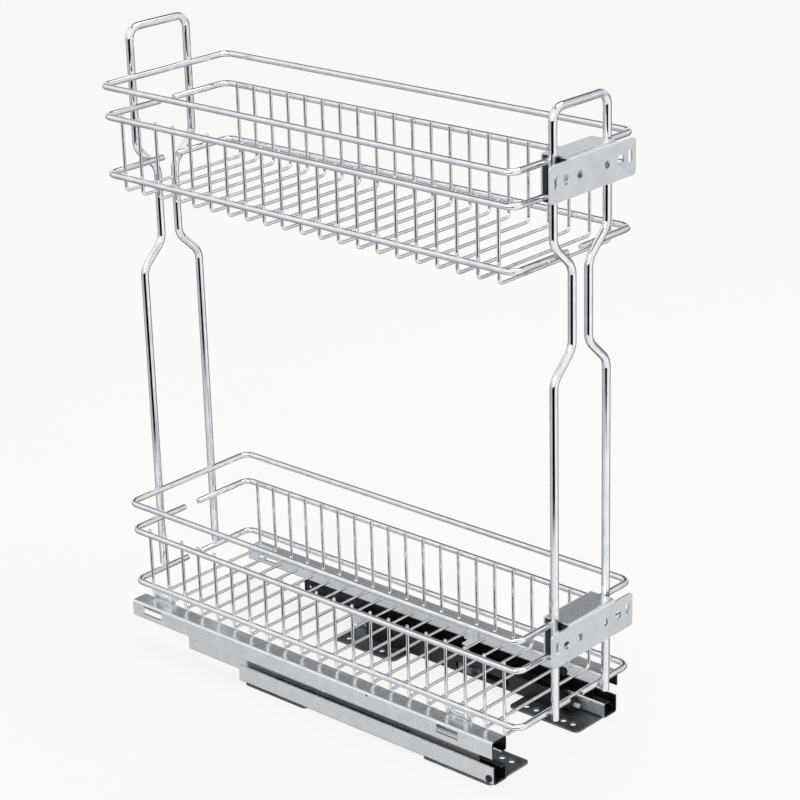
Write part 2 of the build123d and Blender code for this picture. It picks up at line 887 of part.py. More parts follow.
with BuildPart() as damper_tip:
    with BuildSketch(Plane.XZ.offset(-(ahead(housing_front + housing_boss_length) - weld_gap))):
        with Locations((housing_x, cylinder_axis)):
            Circle(damper_tip_radius)
    extrude(amount=damper_tip_reach)
    nose = damper_tip.faces().sort_by(Axis.Y)[0].edges()
    fillet(nose, radius=damper_tip_radius / 2)

with BuildPart() as damper_cylinder:
    with BuildSketch(Plane.XZ.offset(-ahead(-cylinder_rear))):
        with Locations((housing_x, cylinder_axis)):
            Circle(cylinder_radius)
    extrude(amount=cylinder_length)
    with BuildSketch(Plane.XZ.offset(-ahead(-cylinder_rear + 2))):
        with Locations((housing_x, cylinder_axis)):
            Circle(cylinder_bore)
    extrude(amount=cylinder_length - 4, mode=Mode.SUBTRACT)
    with BuildSketch(Plane.XZ.offset(-ahead(-cylinder_rear + 4))):
        with Locations((housing_x, cylinder_axis)):
            Circle(rod_radius + rod_clearance)
    extrude(amount=cylinder_length, mode=Mode.SUBTRACT)

with BuildPart() as damper_rod:
    with BuildSketch(Plane.XZ.offset(-ahead(-cylinder_rear + 6))):
        with Locations((housing_x, cylinder_axis)):
            Circle(piston_radius)
    extrude(amount=5)
    with BuildSketch(Plane.XZ.offset(-ahead(-cylinder_rear + 8))):
        with Locations((housing_x, cylinder_axis)):
            Circle(rod_radius)
    extrude(amount=ahead(-cylinder_rear + 8) - (catch_y + catch_length / 2 - 6))

with BuildPart() as soft_close_catch:
    with Locations((housing_x, catch_y, catch_floor)):
        Box(cavity_width - 2 * catch_gap, catch_length, 10.0, align=(Align.CENTER, Align.CENTER, Align.MIN))
    with Locations((housing_x, catch_y - catch_length / 2 + 3.0, catch_floor)):
        Box(cavity_width - 2 * catch_gap, 6.0, catch_top - catch_floor, align=(Align.CENTER, Align.CENTER, Align.MIN))
    with Locations((housing_inner - catch_tab_reach, catch_y, cylinder_axis)):
        Box(housing_x - housing_inner + catch_tab_reach, catch_length - 12, tab_height,
            align=(Align.MIN, Align.CENTER, Align.CENTER))
    with BuildSketch(Plane.XZ.offset(-(catch_y + catch_length / 2))):
        with Locations((housing_x, cylinder_axis)):
            Circle(rod_radius + weld_gap)
    extrude(amount=6 + weld_gap, mode=Mode.SUBTRACT)

with BuildPart() as striker:
    with Locations((drawer_inner - weld_gap, ahead(striker_at), drawer_inner_bottom + 1)):
        Box(striker_sheet, striker_length, 9.0, align=(Align.MAX, Align.CENTER, Align.MIN))
    with Locations((drawer_inner - weld_gap, ahead(striker_at), drawer_inner_bottom + 1)):
        Box(drawer_inner - housing_x + striker_pin / 2, striker_length / 2, striker_sheet,
            align=(Align.MAX, Align.CENTER, Align.MAX))
    with BuildSketch(Plane.XY.offset(striker_bottom)):
        with Locations((housing_x, ahead(striker_at))):
            Circle(striker_pin / 2)
    extrude(amount=drawer_inner_bottom + 1 - striker_bottom)

# ---------------------------------------------------------------- export
named_parts = {
    "lower_top_ring": lower_top_ring,
    "upper_top_ring": upper_top_ring,
    "lower_mid_rail_left": lower_mid_rail_left,
    "lower_mid_rail_right": lower_mid_rail_right,
    "upper_mid_rail_left": upper_mid_rail_left,
    "upper_mid_rail_right": upper_mid_rail_right,
    "lower_bottom_rail_left": lower_bottom_rail_left,
    "lower_bottom_rail_right": lower_bottom_rail_right,
    "upper_bottom_rail_left": upper_bottom_rail_left,
    "upper_bottom_rail_right": upper_bottom_rail_right,
    "lower_cross_wires": lower_cross_wires,
    "upper_cross_wires": upper_cross_wires,
    "front_upright": front_upright,
    "rear_upright": rear_upright,
    "upper_door_bracket": upper_door_bracket,
    "lower_door_bracket": lower_door_bracket,
    "upper_bracket_liner": upper_bracket_liner,
    "lower_bracket_liner": lower_bracket_liner,
    "left_drawer_member": left_drawer_member,
    "right_drawer_member": right_drawer_member,
    "left_middle_member": left_middle_member,
    "right_middle_member": right_middle_member,
    "left_cabinet_member": left_cabinet_member,
    "right_cabinet_member": right_cabinet_member,
    "left_lower_cage": left_lower_cage,
    "right_lower_cage": right_lower_cage,
    "left_upper_cage": left_upper_cage,
    "right_upper_cage": right_upper_cage,
    "left_lower_balls": left_lower_balls,
    "right_lower_balls": right_lower_balls,
    "left_upper_balls": left_upper_balls,
    "right_upper_balls": right_upper_balls,
    "left_front_foot": left_front_foot,
    "right_front_foot": right_front_foot,
    "left_rear_foot": left_rear_foot,
    "right_rear_foot": right_rear_foot,
    "foot_rivets": foot_rivets,
    "left_middle_rivets": left_middle_rivets,
    "right_middle_rivets": right_middle_rivets,
    "front_stops": front_stops,
    "wall_plugs": wall_plugs,
    "wire_hooks": wire_hooks,
    "hook_rivets": hook_rivets,
    "damper_housing": damper_housing,
    "damper_tip": damper_tip,
    "damper_cylinder": damper_cylinder,
    "damper_rod": damper_rod,
    "soft_close_catch": soft_close_catch,
    "striker": striker,
}

os.makedirs("parts", exist_ok=True)
for name, builder in named_parts.items():
    builder.part.label = name
    export_step(builder.part, f"parts/{name}.step")
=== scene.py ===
"""Looks of a two-tier pull-out cabinet basket on floor-mounted ball slides.

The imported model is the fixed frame. Wires and weld beads are drawn here over it. Pressed and
moulded pieces are copies of the CAD nodes with broken edges, and the bearing balls keep their
CAD shape. Each piece rides on the body that carries it. Lengths are written in millimetres and
turned to metres where a mesh is made.
"""

from __future__ import annotations

import json
import logging
import math
from dataclasses import dataclass, field
from enum import Enum
from typing import Any, Sequence

import bmesh
import bpy
from mathutils import Matrix, Vector

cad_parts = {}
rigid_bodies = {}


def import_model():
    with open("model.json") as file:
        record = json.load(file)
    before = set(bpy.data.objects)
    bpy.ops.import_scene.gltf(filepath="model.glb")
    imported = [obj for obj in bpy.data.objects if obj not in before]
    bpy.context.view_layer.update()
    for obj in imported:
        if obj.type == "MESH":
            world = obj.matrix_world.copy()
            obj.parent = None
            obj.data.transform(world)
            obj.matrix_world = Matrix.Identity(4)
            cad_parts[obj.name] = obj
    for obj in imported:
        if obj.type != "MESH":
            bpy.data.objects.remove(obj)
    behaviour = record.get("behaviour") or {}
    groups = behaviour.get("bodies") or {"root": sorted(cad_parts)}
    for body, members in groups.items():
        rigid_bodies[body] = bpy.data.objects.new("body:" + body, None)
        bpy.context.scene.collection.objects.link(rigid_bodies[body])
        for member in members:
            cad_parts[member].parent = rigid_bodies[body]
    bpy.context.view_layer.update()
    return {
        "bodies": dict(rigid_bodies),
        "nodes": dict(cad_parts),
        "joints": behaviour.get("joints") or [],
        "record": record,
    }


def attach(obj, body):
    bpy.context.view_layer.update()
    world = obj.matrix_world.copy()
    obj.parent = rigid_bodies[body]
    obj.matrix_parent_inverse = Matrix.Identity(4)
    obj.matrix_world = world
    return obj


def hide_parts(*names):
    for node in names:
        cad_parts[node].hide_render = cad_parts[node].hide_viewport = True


log = logging.getLogger("pull_out_basket")

MM = 0.001
TIER_PITCH = 393.8  # height of the upper tier above the lower one
MERGE_DISTANCE = 0.002  # points of a CAD mesh that lie closer are one point
FLAT_DEGREES = 0.6  # facets of a CAD mesh that bend less are one face
EDGE_DEGREES = 40.0  # edges that bend more are broken
END_STEPS = (0.0, 0.3, 0.7, 1.0)  # where the rounded end of a wire has its cross sections
Point = tuple[float, float, float]
Span = tuple[float, float]
Stops = tuple[tuple[float, str], ...]


class Body(Enum):
    """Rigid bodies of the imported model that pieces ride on."""

    CABINET = "cabinet"
    CARRIAGE = "carriage"
    LEFT_MIDDLE = "left_middle_slide"
    RIGHT_MIDDLE = "right_middle_slide"
    LEFT_LOWER = "left_lower_retainer"
    RIGHT_LOWER = "right_lower_retainer"
    LEFT_UPPER = "left_upper_retainer"
    RIGHT_UPPER = "right_upper_retainer"
    SOFT_CLOSE = "soft_close"


class Side(Enum):
    """Left and right of the basket, seen from the door."""

    LEFT = -1
    RIGHT = 1

    @property
    def word(self) -> str:
        """Name of the side as the nodes write it."""
        return "left" if self is Side.LEFT else "right"


# ------------------------------------------------------------------ finishes


def to_linear(colour: str) -> tuple[float, float, float, float]:
    """Turn an sRGB hex colour into linear light.

    Args:
        colour: Six hex digits with a leading hash.

    Returns:
        Linear red, green, blue and an alpha of one.
    """
    parts = [int(colour[i : i + 2], 16) / 255 for i in (1, 3, 5)]
    linear = [c / 12.92 if c <= 0.04045 else ((c + 0.055) / 1.055) ** 2.4 for c in parts]
    return (linear[0], linear[1], linear[2], 1.0)


def add_node(
    tree: bpy.types.NodeTree,
    kind: str,
    settings: dict[str, Any] | None = None,
    links: dict[str, bpy.types.NodeSocket] | None = None,
) -> bpy.types.Node:
    """Add a node with its settings and its incoming links.

    Args:
        tree: Node tree to add to.
        kind: Blender's type name of the node.
        settings: Property names in lower case, or input names as Blender shows them, to values.
        links: Input names to the output sockets that feed them.

    Returns:
        The new node.
    """
    node = tree.nodes.new(kind)
    for key, value in (settings or {}).items():
        if key in node.inputs:
            node.inputs[key].default_value = value
        else:
            setattr(node, key, value)
    for key, socket in (links or {}).items():
        tree.links.new(socket, node.inputs[key])
    return node


def ramp(
    tree: bpy.types.NodeTree, factor: bpy.types.NodeSocket, stops: Sequence[tuple[float, str]]
) -> bpy.types.NodeSocket:
    """Add a colour ramp through hex stops.

    Args:
        tree: Node tree to add to.
        factor: Socket that drives the ramp.
        stops: Positions from 0 to 1 with their sRGB hex colours.

    Returns:
        The ramp's colour.
    """
    node = add_node(tree, "ShaderNodeValToRGB", links={"Fac": factor})
    elements = node.color_ramp.elements
    elements[0].position, elements[0].color = stops[0][0], to_linear(stops[0][1])
    elements[1].position, elements[1].color = stops[-1][0], to_linear(stops[-1][1])
    for position, colour in stops[1:-1]:
        elements.new(position).color = to_linear(colour)
    return node.outputs["Color"]


def noise(
    tree: bpy.types.NodeTree,
    where: bpy.types.NodeSocket,
    scale: float,
    detail: float,
    roughness: float = 0.5,
) -> bpy.types.NodeSocket:
    """Add a cloudy noise.

    Args:
        tree: Node tree to add to.
        where: Coordinates that the noise is laid over.
        scale: Clouds in one unit of these coordinates.
        detail: Octaves of finer clouds.
        roughness: Share that each finer octave keeps.

    Returns:
        The noise, most of it between 0.3 and 0.7.
    """
    settings = {"Scale": scale, "Detail": detail, "Roughness": roughness}
    return add_node(tree, "ShaderNodeTexNoise", settings, {"Vector": where}).outputs["Fac"]


def stretch(
    tree: bpy.types.NodeTree, value: bpy.types.NodeSocket, span: Span, onto: Span = (0.0, 1.0)
) -> bpy.types.NodeSocket:
    """Stretch one range of values onto another and hold it at the ends.

    Args:
        tree: Node tree to add to.
        value: Socket that gives the value.
        span: The two values that are stretched.
        onto: What these two become.

    Returns:
        The stretched value.
    """
    settings = {"From Min": span[0], "From Max": span[1], "To Min": onto[0], "To Max": onto[1]}
    return add_node(tree, "ShaderNodeMapRange", settings, {"Value": value}).outputs["Result"]


def compute(
    tree: bpy.types.NodeTree, operation: str, *terms: bpy.types.NodeSocket | float
) -> bpy.types.NodeSocket:
    """Add a maths node.

    Args:
        tree: Node tree to add to.
        operation: Blender's name of the operation.
        terms: Sockets or plain numbers, in the order of the node's inputs.

    Returns:
        The result.
    """
    node = add_node(tree, "ShaderNodeMath", {"operation": operation})
    for entry, term in zip(node.inputs, terms):
        if isinstance(term, bpy.types.NodeSocket):
            tree.links.new(term, entry)
        else:
            entry.default_value = term
    return node.outputs["Value"]


def mix_shaders(
    tree: bpy.types.NodeTree,
    share: bpy.types.NodeSocket,
    first: bpy.types.NodeSocket,
    second: bpy.types.NodeSocket,
) -> bpy.types.NodeSocket:
    """Mix two shaders.

    Args:
        tree: Node tree to add to.
        share: Share of the second shader.
        first: Shader where the share is 0.
        second: Shader where the share is 1.

    Returns:
        The mixed shader.
    """
    node = add_node(tree, "ShaderNodeMixShader", links={"Fac": share})
    tree.links.new(first, node.inputs[1])
    tree.links.new(second, node.inputs[2])
    return node.outputs["Shader"]


def blank_material(
    name: str,
) -> tuple[bpy.types.Material, bpy.types.NodeTree, bpy.types.Node, bpy.types.NodeSocket]:
    """Make a material with a principled shader and object coordinates.

    Args:
        name: Name of the finish.

    Returns:
        The material, its tree, its shader and the object coordinate socket in metres.
    """
    material = bpy.data.materials.new(name)
    material.use_nodes = True
    tree = material.node_tree
    tree.nodes.clear()
    shader = add_node(tree, "ShaderNodeBsdfPrincipled")
    add_node(tree, "ShaderNodeOutputMaterial", links={"Surface": shader.outputs["BSDF"]})
    where = add_node(tree, "ShaderNodeTexCoord")
    return material, tree, shader, where.outputs["Object"]


def coat(
    tree: bpy.types.NodeTree,
    shader: bpy.types.Node,
    colour: bpy.types.NodeSocket,
    rough: bpy.types.NodeSocket,
    metal: float = 0.0,
) -> None:
    """Give a shader its colour and roughness.

    Args:
        tree: Node tree of the material.
        shader: The principled shader.
        colour: Socket of the base colour.
        rough: Socket of the roughness.
        metal: How metallic the surface is, from 0 to 1.
    """
    tree.links.new(colour, shader.inputs["Base Color"])
    tree.links.new(rough, shader.inputs["Roughness"])
    shader.inputs["Metallic"].default_value = metal


def emboss(
    tree: bpy.types.NodeTree,
    shader: bpy.types.Node,
    height: bpy.types.NodeSocket,
    strength: float,
    depth_mm: float,
) -> None:
    """Give a shader a fine relief.

    Args:
        tree: Node tree of the material.
        shader: The principled shader.
        height: Socket of the height, from 0 to 1.
        strength: Share of the relief that shows.
        depth_mm: Height of the relief in millimetres.
    """
    settings = {"Strength": strength, "Distance": depth_mm * MM}
    bump = add_node(tree, "ShaderNodeBump", settings, {"Height": height})
    tree.links.new(bump.outputs["Normal"], shader.inputs["Normal"])


@dataclass(frozen=True)
class BrightChrome:
    """Bright nickel-chrome plate over drawn steel wire.

    The plate gives a mirror-like highlight along every wire with dark lines beside it. Drawn
    wire keeps faint lengthwise waves under the plate, so the lines are never quite straight.
    """

    name: str = "bright_chrome_plate"
    slot: str = "bright_chrome"
    colour: str = "#EFF0F2"
    shadow_colour: str = "#E0E2E5"
    roughness: float = 0.05
    rough_shares: Span = (0.7, 1.5)
    wave_mm: float = 9.0
    wave_depth_mm: float = 0.008
    wave_strength: float = 0.6

    def material(self) -> bpy.types.Material:
        """Build the plate: slight tint changes and a fine wavy skin."""
        material, tree, shader, where = blank_material(self.name)
        cloud = noise(tree, where, 1 / (self.wave_mm * MM), 2.0)
        tint = ramp(tree, cloud, [(0.35, self.shadow_colour), (0.65, self.colour)])
        least, most = (self.roughness * share for share in self.rough_shares)
        coat(tree, shader, tint, stretch(tree, cloud, (0.3, 0.7), (least, most)), metal=1.0)
        emboss(tree, shader, cloud, self.wave_strength, self.wave_depth_mm)
        return material


@dataclass(frozen=True)
class ZincSheet:
    """Bright zinc plate on rolled steel sheet.

    Zinc gives a cool satin grey. The rolling mill leaves fine streaks along the strip and the
    bath leaves cloudy patches. The broken edges carry a painted highlight: a pale finish of their own.
    """

    name: str = "satin_zinc_plated_steel"
    slot: str = "zinc_plate"
    colour: str = "#F2F4F6"
    cloud_colour: str = "#E5E9EC"
    roughness: float = 0.24
    rough_shares: Span = (0.75, 1.35)
    streak_mm: float = 0.5
    streak_length_mm: float = 45.0
    streak_depth_mm: float = 0.02
    streak_strength: float = 0.12
    cloud_mm: float = 14.0
    metal: float = 0.75

    def material(self) -> bpy.types.Material:
        """Build the plate: clouds and rolling streaks."""
        material, tree, shader, where = blank_material(self.name)
        thin, long = 1 / (self.streak_mm * MM), 1 / (self.streak_length_mm * MM)
        along = add_node(tree, "ShaderNodeMapping", {"Scale": (thin, long, thin)}, {"Vector": where})
        streak = noise(tree, along.outputs["Vector"], 1.0, 3.0)
        cloud = noise(tree, where, 1 / (self.cloud_mm * MM), 5.0, 0.62)
        tint = ramp(tree, cloud, [(0.36, self.cloud_colour), (0.62, self.colour)])
        least, most = (self.roughness * share for share in self.rough_shares)
        coat(tree, shader, tint, stretch(tree, streak, (0.25, 0.75), (least, most)), self.metal)
        emboss(tree, shader, streak, self.streak_strength, self.streak_depth_mm)
        return material


@dataclass(frozen=True)
class BearingSteel:
    """Ground and polished bearing steel: small bright balls and rods with a mirror skin."""

    name: str = "polished_bearing_steel"
    slot: str = "ball_steel"
    colour: str = "#D9DCDE"
    film_colour: str = "#B9B6AE"
    roughness: float = 0.12
    rough_shares: Span = (2.0, 0.7)
    film_mm: float = 3.0

    def material(self) -> bpy.types.Material:
        """Build the steel with a thin uneven grease film."""
        material, tree, shader, where = blank_material(self.name)
        film = noise(tree, where, 1 / (self.film_mm * MM), 3.0)
        tint = ramp(tree, film, [(0.40, self.film_colour), (0.60, self.colour)])
        greasy, clean = (self.roughness * share for share in self.rough_shares)
        coat(tree, shader, tint, stretch(tree, film, (0.3, 0.7), (greasy, clean)), metal=1.0)
        return material


@dataclass(frozen=True)
class Moulded:
    """Injection-moulded plastic or rubber with a spark-eroded grain.

    The grain breaks the highlight into a soft sheen, and handling polishes the high spots.
    """

    name: str
    slot: str
    colour: str
    high_colour: str
    roughness: float
    grain_mm: float = 0.5
    grain_depth_mm: float = 0.03
    grain_strength: float = 0.5
    cloud_mm: float = 12.0
    rough_shares: Span = (0.85, 1.15)
    ior: float = 1.5

    def material(self) -> bpy.types.Material:
        """Build the moulded skin with its grain."""
        material, tree, shader, where = blank_material(self.name)
        grain = noise(tree, where, 1 / (self.grain_mm * MM), 2.0)
        cloud = noise(tree, where, 1 / (self.cloud_mm * MM), 4.0)
        tint = ramp(tree, cloud, [(0.35, self.colour), (0.70, self.high_colour)])
        least, most = (self.roughness * share for share in self.rough_shares)
        coat(tree, shader, tint, stretch(tree, cloud, (0.3, 0.7), (least, most)))
        emboss(tree, shader, grain, self.grain_strength, self.grain_depth_mm)
        shader.inputs["IOR"].default_value = self.ior
        return material


Finish = BrightChrome | ZincSheet | BearingSteel | Moulded


@dataclass
class FinishSet:
    """All finishes of the basket, each built once."""

    chrome: BrightChrome = BrightChrome()
    zinc: ZincSheet = ZincSheet()
    dull_zinc: ZincSheet = ZincSheet(
        name="dull_grey_zinc_plated_steel",
        slot="dark_zinc",
        colour="#6E7478",
        cloud_colour="#50565A",
        roughness=0.36,
    )
    # Painted shade: near-black zinc on the faces inside the slide channels.
    greased: ZincSheet = ZincSheet(
        name="painted_shade_inside_the_channel",
        slot="zinc_plate",
        colour="#33363A",
        cloud_colour="#202326",
        roughness=0.42,
    )
    # Painted highlight: a pale finish on the broken edges of every zinc sheet.
    cut_edge: ZincSheet = ZincSheet(
        name="painted_highlight_on_zinc_edges",
        slot="zinc_plate",
        colour="#F1F3F4",
        cloud_colour="#DDE1E4",
        roughness=0.24,
    )
    steel: BearingSteel = BearingSteel()
    nylon: Moulded = Moulded("black_glass_filled_nylon", "black_plastic", "#17181A", "#242628", 0.42)
    acetal: Moulded = Moulded("grey_acetal", "grey_plastic", "#6D7073", "#84878A", 0.34)
    rubber: Moulded = Moulded("black_stop_rubber", "black_rubber", "#111112", "#1B1B1C", 0.62)
    pale: Moulded = Moulded("white_acetal", "white_plastic", "#D8D8D4", "#ECECE8", 0.30)
    built: dict[str, bpy.types.Material] = field(default_factory=dict)

    def of(self, finish: Finish) -> bpy.types.Material:
        """Return the finish's material, built at its first use.

        Args:
            finish: One of this set's finishes.

        Returns:
            The Blender material.
        """
        if finish.name not in self.built:
            self.built[finish.name] = finish.material()
        return self.built[finish.name]


# ------------------------------------------------------------------ mesh makers


@dataclass
class Draft:
    """Vertices and faces of a piece while it is drawn, in millimetres."""

    points: list[Vector] = field(default_factory=list)
    faces: list[tuple[int, ...]] = field(default_factory=list)

    def add(self, points: Sequence[Vector], faces: Sequence[Sequence[int]]) -> None:
        """Append points with faces that count from the first of them."""
        start = len(self.points)
        self.points.extend(points)
        self.faces.extend(tuple(start + index for index in face) for face in faces)

    def loft(self, rings: Sequence[Sequence[Vector]], closed: bool = False) -> None:
        """Join rings of equal length into a skin.

        Args:
            rings: Rings of points, each in the same turning direction.
            closed: True to join the last ring to the first; otherwise both ends are capped.
        """
        count = len(rings[0])
        flat = [point for ring in rings for point in ring]
        faces: list[tuple[int, ...]] = []
        spans = len(rings) if closed else len(rings) - 1
        for row in range(spans):
            here, there = row * count, ((row + 1) % len(rings)) * count
            for i in range(count):
                j = (i + 1) % count
                faces.append((here + i, here + j, there + j, there + i))
        if not closed:
            faces.append(tuple(reversed(range(count))))
            faces.append(tuple((len(rings) - 1) * count + i for i in range(count)))
        self.add(flat, faces)

    def piece(self, name: str, material: bpy.types.Material, sharp: float = 38.0) -> bpy.types.Object:
        """Turn the draft into a smooth-shaded object in metres.

        Args:
            name: Name of the piece.
            material: Its finish.
            sharp: Edges that bend more than this many degrees stay crisp.

        Returns:
            The linked object.
        """
        mesh = bpy.data.meshes.new(name)
        mesh.from_pydata([point * MM for point in self.points], [], self.faces)
        work = bmesh.new()
        work.from_mesh(mesh)
        bmesh.ops.recalc_face_normals(work, faces=work.faces)
        work.to_mesh(mesh)
        work.free()
        mesh.shade_smooth()
        mesh.set_sharp_from_angle(angle=math.radians(sharp))
        mesh.materials.append(material)
        made = bpy.data.objects.new(name, mesh)
        bpy.context.scene.collection.objects.link(made)
        return made


@dataclass(frozen=True)
class Wire:
    """A round wire bent along a flat polyline.

    Attributes:
        corners: Corner points of the centreline.
        radius: Radius of the wire.
        bends: Centreline bend radii at the inner corners, or one for all.
        normal: Unit vector across the plane that the wire lies in.
        sides: Sides round the wire.
        closed: True for a ring.
        crown: How far the cut ends are rounded.
    """

    corners: tuple[Point, ...]
    radius: float
    bends: tuple[float, ...]
    normal: Point
    sides: int
    closed: bool = False
    crown: float = 0.55

    def route(self) -> list[tuple[Vector, Vector]]:
        """Points of the bent centreline with their tangents.

        Returns:
            Pairs of position and unit tangent along the wire.
        """
        corners = [Vector(c) for c in self.corners]
        count = len(corners)
        path: list[tuple[Vector, Vector]] = []
        inner = range(count) if self.closed else range(1, count - 1)
        if not self.closed:
            path.append((corners[0], (corners[1] - corners[0]).normalized()))
        for step, index in enumerate(inner):
            before, here, after = corners[index - 1], corners[index], corners[(index + 1) % count]
            bend = self.bends[step % len(self.bends)]
            come, leave = (here - before).normalized(), (after - here).normalized()
            turn = come.angle(leave)
            setback = bend * math.tan(turn / 2)
            axis = come.cross(leave).normalized()
            start = here - come * setback
            centre = start + axis.cross(come) * bend
            parts = max(3, round(math.degrees(turn) / 7.5))
            for k in range(parts + 1):
                swing = Matrix.Rotation(turn * k / parts, 3, axis)
                path.append((centre + swing @ (start - centre), swing @ come))
        if not self.closed:
            path.append((corners[-1], (corners[-1] - corners[-2]).normalized()))
        return path

    def ring(self, centre: Vector, tangent: Vector, radius: float) -> list[Vector]:
        """One cross section of the wire."""
        side = Vector(self.normal)
        up = tangent.cross(side).normalized()
        turns = [2 * math.pi * i / self.sides for i in range(self.sides)]
        return [centre + (up * math.cos(a) + side * math.sin(a)) * radius for a in turns]

    def rounded_end(self, end: Vector, tangent: Vector, inward: int) -> list[list[Vector]]:
        """Cross sections from a cut end inwards.

        Args:
            end: Centre of the cut face.
            tangent: Direction of the wire there.
            inward: 1 where the tangent points into the wire, -1 where it points out.

        Returns:
            Cross sections that grow to the full radius.
        """
        rings = []
        for step in END_STEPS:
            drop = self.crown * (1 - math.sqrt(1 - (1 - step) ** 2))
            rings.append(self.ring(end + tangent * inward * self.crown * step, tangent, self.radius - drop))
        return rings

    def draw(self, draft: Draft) -> None:
        """Sweep the wire into a draft, with rounded cut ends."""
        path = self.route()
        if self.closed:
            draft.loft([self.ring(point, along, self.radius) for point, along in path], closed=True)
            return
        rings = self.rounded_end(*path[0], inward=1)
        rings += [self.ring(point, along, self.radius) for point, along in path[1:-1]]
        rings += reversed(self.rounded_end(*path[-1], inward=-1))
        draft.loft(rings)


def weld_bead(draft: Draft, centre: Point, size: Point) -> None:
    """Draw a squeezed resistance-weld bead where two wires meet.

    Args:
        draft: Draft that takes the bead.
        centre: Where the wires meet.
        size: Half sizes along X, Y and Z.
    """
    middle = Vector(centre)
    rings = []
    levels, sides = 6, 12
    for row in range(1, levels):
        tilt = math.pi * row / levels
        ring = []
        for i in range(sides):
            turn = 2 * math.pi * i / sides
            unit = (math.sin(tilt) * math.cos(turn), math.sin(tilt) * math.sin(turn), math.cos(tilt))
            ring.append(middle + Vector((unit[0] * size[0], unit[1] * size[1], unit[2] * size[2])))
        rings.append(ring)
    draft.loft(rings)


def place(piece: bpy.types.Object, body: Body, slot: str, *nodes: str) -> bpy.types.Object:
    """Put a piece on its body, hide the nodes that it replaces and log it.

    Args:
        piece: The finished object.
        body: Body that carries it.
        slot: Material slot of the record; not used.
        nodes: CAD nodes that the piece replaces.

    Returns:
        The same object.
    """
    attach(piece, body.value)
    if nodes:
        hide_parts(*nodes)
    log.info("%s rides on %s, %d faces", piece.name, body.value, len(piece.data.polygons))
    return piece


def crisp_sheet(
    frame: dict[str, Any],
    node: str,
    body: Body,
    finish: Finish,
    finishes: FinishSet,
    edge: float,
    inside: tuple[float, float, float, float] | None = None,
) -> bpy.types.Object:
    """Make a pressed or moulded piece from its node, with broken edges.

    Args:
        node: CAD node that gives the shape.
        body: Body that carries it.
        finish: Finish of the surface.
        finishes: Set that builds the material.
        edge: Width of the broken edges in millimetres.
        inside: Least and greatest distance from the centre plane, then least and greatest
            height, between which faces carry the painted shade of a channel's inside.

    Returns:
        The piece that replaces the node.
    """
    mesh = frame["nodes"][node].data.copy()
    mesh.name = f"{node}_pressed"
    work = bmesh.new()
    work.from_mesh(mesh)
    bmesh.ops.remove_doubles(work, verts=work.verts, dist=MERGE_DISTANCE * MM)
    flat = math.radians(FLAT_DEGREES)
    bmesh.ops.dissolve_limit(work, angle_limit=flat, verts=work.verts, edges=work.edges)
    bmesh.ops.recalc_face_normals(work, faces=work.faces)
    work.to_mesh(mesh)
    work.free()
    if mesh.has_custom_normals:
        mesh.attributes.remove(mesh.attributes["custom_normal"])
    mesh.materials.clear()
    sheet = isinstance(finish, ZincSheet)
    skins = (finish, finishes.cut_edge, finishes.greased) if sheet else (finish,)
    for skin in skins:
        mesh.materials.append(finishes.of(skin))
    if inside is not None:
        # Faces inside the channel take the painted shade, all others the plain finish.
        near, far, low, high = (v * MM for v in inside)
        for face in mesh.polygons:
            across, height = abs(face.center.x), face.center.z
            face.material_index = 2 if near < across < far and low < height < high else 0
    mesh.shade_smooth()
    made = bpy.data.objects.new(f"{node}_pressed", mesh)
    bpy.context.scene.collection.objects.link(made)
    bevel = made.modifiers.new("broken_edges", "BEVEL")
    bevel.width = edge * MM
    bevel.segments = 2
    bevel.limit_method = "ANGLE"
    bevel.angle_limit = math.radians(EDGE_DEGREES)
    bevel.use_clamp_overlap = True
    bevel.miter_outer = "MITER_ARC"
    # The bevel faces take the painted highlight of the edges.
    if sheet:
        bevel.material = 1
    weighted = made.modifiers.new("flat_faces", "WEIGHTED_NORMAL")
    weighted.keep_sharp = True
    weighted.weight = 100
    return place(made, body, finish.slot, node)


def dress(frame: dict[str, Any], node: str, finish: Finish, finishes: FinishSet) -> None:
    """Give a CAD node that keeps its shape a finish.

    Args:
        node: Name of the node.
        finish: Finish of the surface.
        finishes: Set that builds the material.
    """
    mesh = frame["nodes"][node].data
    mesh.materials.clear()
    mesh.materials.append(finishes.of(finish))
    log.info("%s dressed in %s", node, finish.name)


# ------------------------------------------------------------------ sub-assemblies


